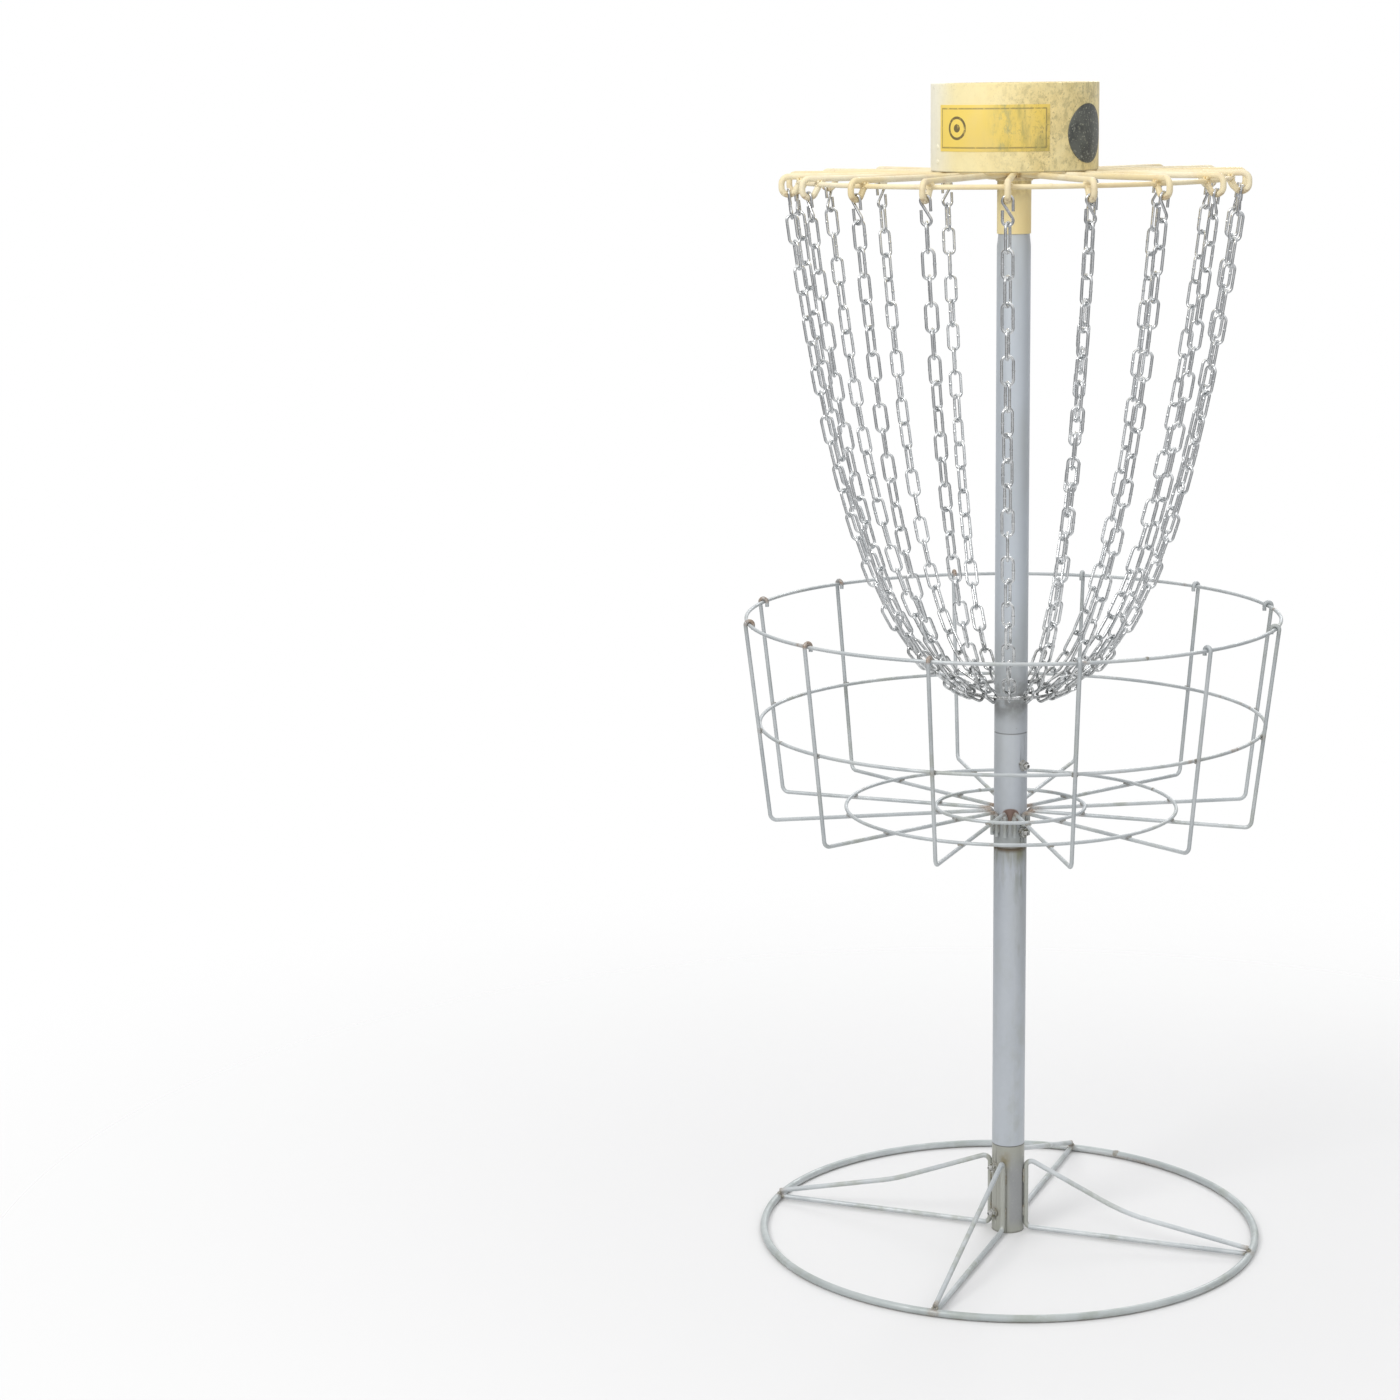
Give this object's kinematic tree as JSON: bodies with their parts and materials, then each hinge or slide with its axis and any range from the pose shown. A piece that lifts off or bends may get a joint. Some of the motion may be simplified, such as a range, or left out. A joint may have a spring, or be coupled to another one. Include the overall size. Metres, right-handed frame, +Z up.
{
  "type": "disc golf basket",
  "caption": "Portable disc golf basket: wire basket and hanging chains on a knock-down tube post with a round wire foot and a plain number band.",
  "frame": {"origin": "on the ground, on the axis of the post", "axes": "+Z up along the post, -Y towards the front, where the label is; +X to the right seen from the front"},
  "size_m": [0.6772, 0.6772, 1.482],
  "materials": {
    "galvanised_tube": "hot-dip galvanised, dull, light scratches",
    "galvanised_rod": "galvanised rod, dull, brown bleed at bends and welds",
    "foot_sleeve": "galvanised, stained brown-grey by weather",
    "set_hardware": "zinc plated nuts and bolts, rusting",
    "cream_paint": "faded yellow powder coat, dusty, mildew specks",
    "band_plastic": "sun-faded yellow plastic, dark mildew specks",
    "label_film": "blank printed film, weathered",
    "disc_film": "black film, specked",
    "zinc_chain": "bright zinc plated welded chain",
    "zinc_hook": "zinc plated wire, rust at the bearing points"
  },
  "bodies": {
    "base": {"base_ring": "galvanised_rod", "base_legs": "galvanised_rod", "base_sleeve": "foot_sleeve", "base_set_nuts": "set_hardware"},
    "base_bolts": {"base_set_bolts": "set_hardware"},
    "post": {"lower_pole": "galvanised_tube"},
    "basket": {"hub_sleeve": "galvanised_tube", "hub_set_nuts": "set_hardware", "basket_ribs": "galvanised_rod", "rim_ring": "galvanised_rod", "side_ring": "galvanised_rod", "outer_floor_ring": "galvanised_rod", "inner_floor_ring": "galvanised_rod"},
    "hub_bolts": {"hub_set_bolts": "set_hardware"},
    "upper_post": {"upper_pole": "galvanised_tube"},
    "top": {"top_sleeve": "cream_paint", "top_plate": "cream_paint", "chain_arms": "cream_paint", "chain_hoop": "cream_paint", "number_band": "band_plastic", "band_brackets": "cream_paint", "band_label": "label_film", "number_disc": "disc_film"},
    "collector": {"collector_ring": "zinc_hook"},
    "hung_chain_01": {"chain_01": "zinc_chain", "s_hook_01": "zinc_hook"},
    "hung_chain_02": {"chain_02": "zinc_chain", "s_hook_02": "zinc_hook"},
    "hung_chain_03": {"chain_03": "zinc_chain", "s_hook_03": "zinc_hook"},
    "hung_chain_04": {"chain_04": "zinc_chain", "s_hook_04": "zinc_hook"},
    "hung_chain_05": {"chain_05": "zinc_chain", "s_hook_05": "zinc_hook"},
    "hung_chain_06": {"chain_06": "zinc_chain", "s_hook_06": "zinc_hook"},
    "hung_chain_07": {"chain_07": "zinc_chain", "s_hook_07": "zinc_hook"},
    "hung_chain_08": {"chain_08": "zinc_chain", "s_hook_08": "zinc_hook"},
    "hung_chain_09": {"chain_09": "zinc_chain", "s_hook_09": "zinc_hook"},
    "hung_chain_10": {"chain_10": "zinc_chain", "s_hook_10": "zinc_hook"},
    "hung_chain_11": {"chain_11": "zinc_chain", "s_hook_11": "zinc_hook"},
    "hung_chain_12": {"chain_12": "zinc_chain", "s_hook_12": "zinc_hook"},
    "hung_chain_13": {"chain_13": "zinc_chain", "s_hook_13": "zinc_hook"},
    "hung_chain_14": {"chain_14": "zinc_chain", "s_hook_14": "zinc_hook"},
    "hung_chain_15": {"chain_15": "zinc_chain", "s_hook_15": "zinc_hook"},
    "hung_chain_16": {"chain_16": "zinc_chain", "s_hook_16": "zinc_hook"},
    "hung_chain_17": {"chain_17": "zinc_chain", "s_hook_17": "zinc_hook"},
    "hung_chain_18": {"chain_18": "zinc_chain", "s_hook_18": "zinc_hook"}
  },
  "joints": [
    {"name": "base_bolts_slide", "type": "slide", "parent": "base", "child": "base_bolts", "axis": [-0.829, -0.5592, 0], "range_m": [0, 0.006]},
    {"name": "lower_pole_lift", "type": "slide", "parent": "base", "child": "post", "axis": [0, 0, 1], "range_m": [0, 0.12]},
    {"name": "basket_lift", "type": "slide", "parent": "post", "child": "basket", "axis": [0, 0, 1], "range_m": [0, 0.08]},
    {"name": "hub_bolts_slide", "type": "slide", "parent": "basket", "child": "hub_bolts", "axis": [0.7314, -0.682, 0], "range_m": [0, 0.006]},
    {"name": "upper_pole_lift", "type": "slide", "parent": "basket", "child": "upper_post", "axis": [0, 0, 1], "range_m": [0, 0.08]},
    {"name": "top_lift", "type": "slide", "parent": "upper_post", "child": "top", "axis": [0, 0, 1], "range_m": [0, 0.065]},
    {"name": "collector_turn", "type": "hinge", "parent": "top", "child": "collector", "pos_m": [0, 0, 0.72323], "axis": [0, 0, 1], "continuous": true},
    {"name": "chain_swing_01", "type": "hinge", "parent": "top", "child": "hung_chain_01", "pos_m": [-0.0073, -0.2789, 1.35], "axis": [-0.0087, -0.3334, 0.9428], "range_deg": [-12, 12]},
    {"name": "chain_swing_02", "type": "hinge", "parent": "top", "child": "hung_chain_02", "pos_m": [0.08853, -0.26458, 1.35], "axis": [0.1058, -0.3162, 0.9428], "range_deg": [-12, 12]},
    {"name": "chain_swing_03", "type": "hinge", "parent": "top", "child": "hung_chain_03", "pos_m": [0.17368, -0.21835, 1.35], "axis": [0.2076, -0.261, 0.9428], "range_deg": [-12, 12]},
    {"name": "chain_swing_04", "type": "hinge", "parent": "top", "child": "hung_chain_04", "pos_m": [0.23789, -0.14578, 1.35], "axis": [0.2843, -0.1742, 0.9428], "range_deg": [-12, 12]},
    {"name": "chain_swing_05", "type": "hinge", "parent": "top", "child": "hung_chain_05", "pos_m": [0.2734, -0.05562, 1.35], "axis": [0.3268, -0.0665, 0.9428], "range_deg": [-12, 12]},
    {"name": "chain_swing_06", "type": "hinge", "parent": "top", "child": "hung_chain_06", "pos_m": [0.27594, 0.04124, 1.35], "axis": [0.3298, 0.0493, 0.9428], "range_deg": [-12, 12]},
    {"name": "chain_swing_07", "type": "hinge", "parent": "top", "child": "hung_chain_07", "pos_m": [0.24519, 0.13313, 1.35], "axis": [0.2931, 0.1591, 0.9428], "range_deg": [-12, 12]},
    {"name": "chain_swing_08", "type": "hinge", "parent": "top", "child": "hung_chain_08", "pos_m": [0.18487, 0.20896, 1.35], "axis": [0.221, 0.2497, 0.9428], "range_deg": [-12, 12]},
    {"name": "chain_swing_09", "type": "hinge", "parent": "top", "child": "hung_chain_09", "pos_m": [0.10225, 0.25959, 1.35], "axis": [0.1222, 0.3103, 0.9428], "range_deg": [-12, 12]},
    {"name": "chain_swing_10", "type": "hinge", "parent": "top", "child": "hung_chain_10", "pos_m": [0.0073, 0.2789, 1.35], "axis": [0.0087, 0.3334, 0.9428], "range_deg": [-12, 12]},
    {"name": "chain_swing_11", "type": "hinge", "parent": "top", "child": "hung_chain_11", "pos_m": [-0.08853, 0.26458, 1.35], "axis": [-0.1058, 0.3162, 0.9428], "range_deg": [-12, 12]},
    {"name": "chain_swing_12", "type": "hinge", "parent": "top", "child": "hung_chain_12", "pos_m": [-0.17368, 0.21835, 1.35], "axis": [-0.2076, 0.261, 0.9428], "range_deg": [-12, 12]},
    {"name": "chain_swing_13", "type": "hinge", "parent": "top", "child": "hung_chain_13", "pos_m": [-0.23789, 0.14578, 1.35], "axis": [-0.2843, 0.1742, 0.9428], "range_deg": [-12, 12]},
    {"name": "chain_swing_14", "type": "hinge", "parent": "top", "child": "hung_chain_14", "pos_m": [-0.2734, 0.05562, 1.35], "axis": [-0.3268, 0.0665, 0.9428], "range_deg": [-12, 12]},
    {"name": "chain_swing_15", "type": "hinge", "parent": "top", "child": "hung_chain_15", "pos_m": [-0.27594, -0.04124, 1.35], "axis": [-0.3298, -0.0493, 0.9428], "range_deg": [-12, 12]},
    {"name": "chain_swing_16", "type": "hinge", "parent": "top", "child": "hung_chain_16", "pos_m": [-0.24519, -0.13313, 1.35], "axis": [-0.2931, -0.1591, 0.9428], "range_deg": [-12, 12]},
    {"name": "chain_swing_17", "type": "hinge", "parent": "top", "child": "hung_chain_17", "pos_m": [-0.18487, -0.20896, 1.35], "axis": [-0.221, -0.2497, 0.9428], "range_deg": [-12, 12]},
    {"name": "chain_swing_18", "type": "hinge", "parent": "top", "child": "hung_chain_18", "pos_m": [-0.10225, -0.25959, 1.35], "axis": [-0.1222, -0.3103, 0.9428], "range_deg": [-12, 12]}
  ]
}
